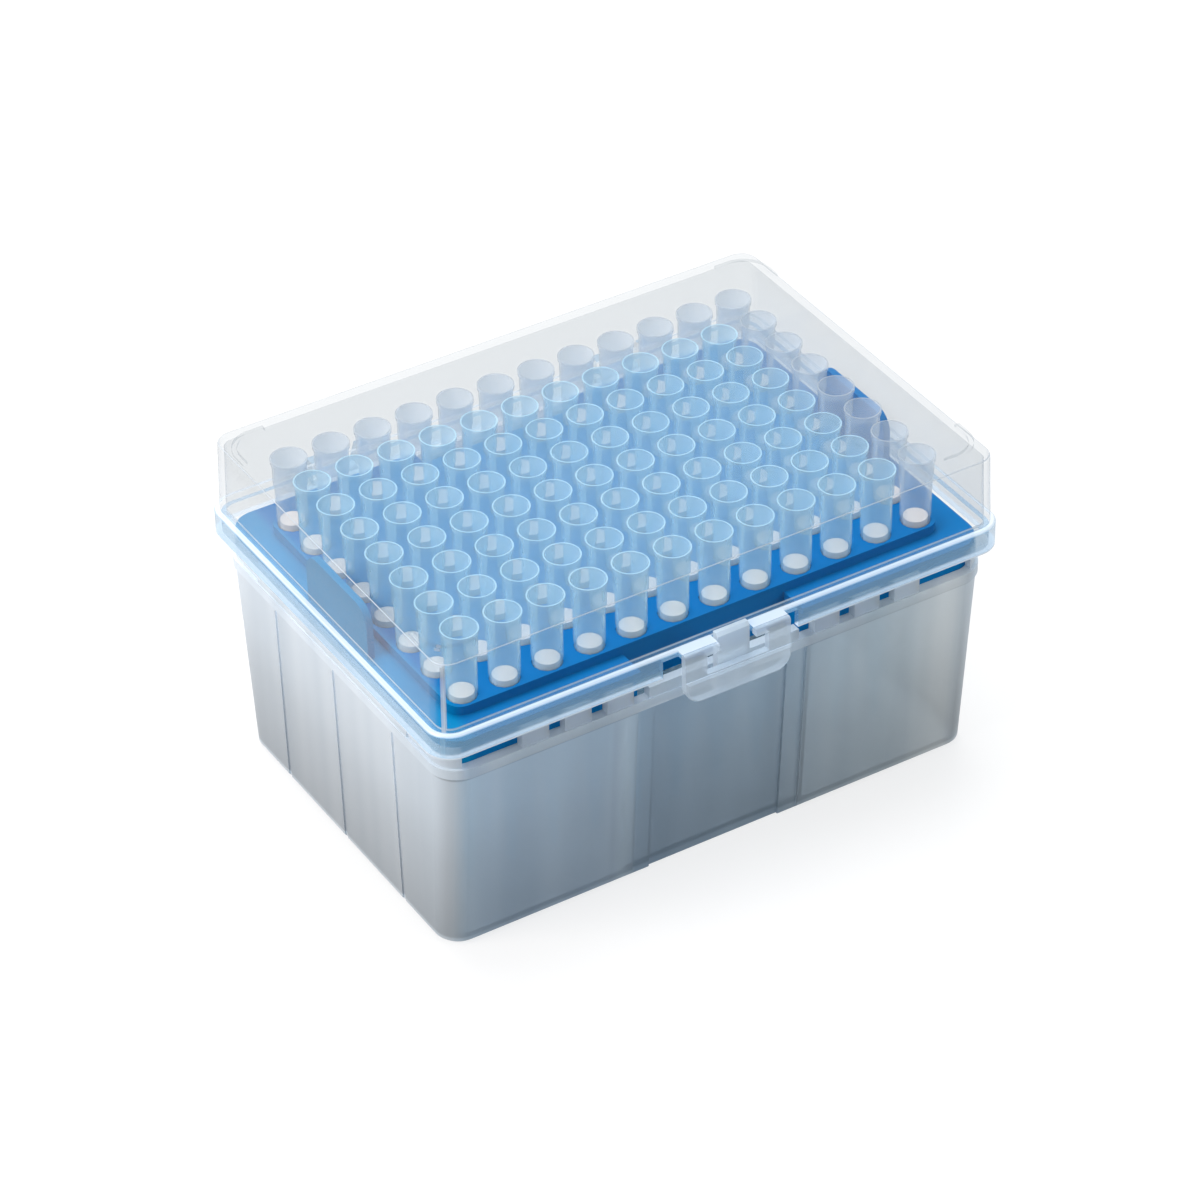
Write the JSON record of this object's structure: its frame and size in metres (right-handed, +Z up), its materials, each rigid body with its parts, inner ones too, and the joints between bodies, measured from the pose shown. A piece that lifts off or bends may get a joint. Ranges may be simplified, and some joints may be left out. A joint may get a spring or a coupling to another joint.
{
  "type": "box of pipette tips",
  "caption": "Closed box of filter pipette tips: clear hinged lid with a front latch, frosted base, and a blue rack that holds a grid of clear tips.",
  "frame": {"origin": "centre of the base's underside, below the middle of the tip grid", "axes": "+X along the long side, +Y towards the hinge side, +Z up; the latch is on the -Y side"},
  "size_m": [0.123, 0.0966, 0.0695],
  "materials": {
    "frosted_box": "frosted, see-through polypropylene",
    "blue_rack": "moulded blue polypropylene, half gloss",
    "clear_lid": "clear polypropylene, glossy",
    "clear_latch": "clear polypropylene, glossy",
    "clear_tip": "clear polypropylene",
    "white_filter": "sintered porous polyethylene"
  },
  "bodies": {
    "base": {"base": "frosted_box", "rack": "blue_rack", "tips_column_01": "clear_tip", "tips_column_02": "clear_tip", "tips_column_03": "clear_tip", "tips_column_04": "clear_tip", "tips_column_05": "clear_tip", "tips_column_06": "clear_tip", "tips_column_07": "clear_tip", "tips_column_08": "clear_tip", "tips_column_09": "clear_tip", "tips_column_10": "clear_tip", "tips_column_11": "clear_tip", "tips_column_12": "clear_tip", "filters_column_01": "white_filter", "filters_column_02": "white_filter", "filters_column_03": "white_filter", "filters_column_04": "white_filter", "filters_column_05": "white_filter", "filters_column_06": "white_filter", "filters_column_07": "white_filter", "filters_column_08": "white_filter", "filters_column_09": "white_filter", "filters_column_10": "white_filter", "filters_column_11": "white_filter", "filters_column_12": "white_filter"},
    "lid": {"lid": "clear_lid"},
    "latch": {"latch": "clear_latch"}
  },
  "joints": [
    {"name": "lid_hinge", "type": "hinge", "parent": "base", "child": "lid", "pos_m": [0, 0.0469, 0.0466], "axis": [-1, 0, 0], "range_deg": [0, 105]},
    {"name": "latch_hinge", "type": "hinge", "parent": "lid", "child": "latch", "pos_m": [0, -0.046, 0.053], "axis": [-1, 0, 0], "range_deg": [0, 70]}
  ]
}
